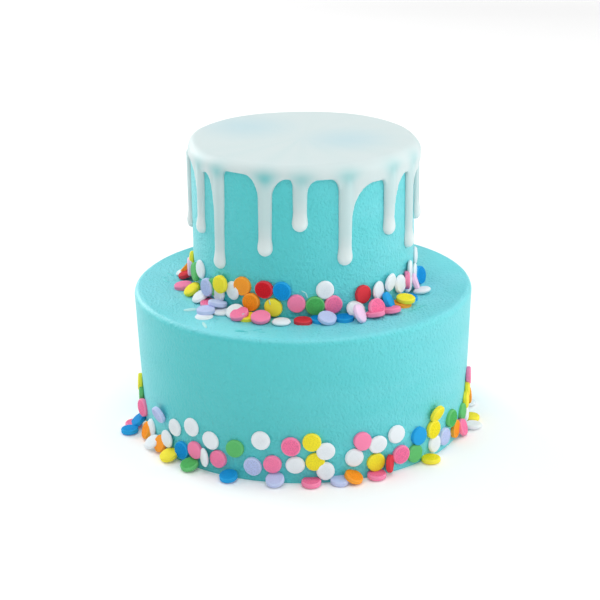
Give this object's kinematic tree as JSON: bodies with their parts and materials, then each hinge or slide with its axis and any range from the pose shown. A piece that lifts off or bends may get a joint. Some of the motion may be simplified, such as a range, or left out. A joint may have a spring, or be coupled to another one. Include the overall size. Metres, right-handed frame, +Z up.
{
  "type": "two-tier cake",
  "caption": "Round two-tier celebration cake with smooth turquoise buttercream, a pale drip icing on top and sugar confetti round the foot of each tier.",
  "frame": {"origin": "middle of the lower tier's foot, on the surface that the cake rests on", "axes": "+Z up through both tiers; -Y is the front, the side that the picture shows; +X is to the right seen from the front"},
  "size_m": [0.2359, 0.2302, 0.1908],
  "materials": {
    "buttercream": "soft satin buttercream, faintly pebbled",
    "drip_icing": "smooth semi-gloss icing, slightly translucent where thin",
    "sugar_white": "matte pressed sugar",
    "sugar_pink": "matte pressed sugar",
    "sugar_pale_pink": "matte pressed sugar",
    "sugar_yellow": "matte pressed sugar",
    "sugar_orange": "matte pressed sugar",
    "sugar_red": "matte pressed sugar",
    "sugar_green": "matte pressed sugar",
    "sugar_blue": "matte pressed sugar",
    "sugar_lilac": "matte pressed sugar"
  },
  "bodies": {
    "root": {"lower_tier": "buttercream", "upper_tier": "buttercream", "drip_icing": "drip_icing"}
  },
  "joints": []
}
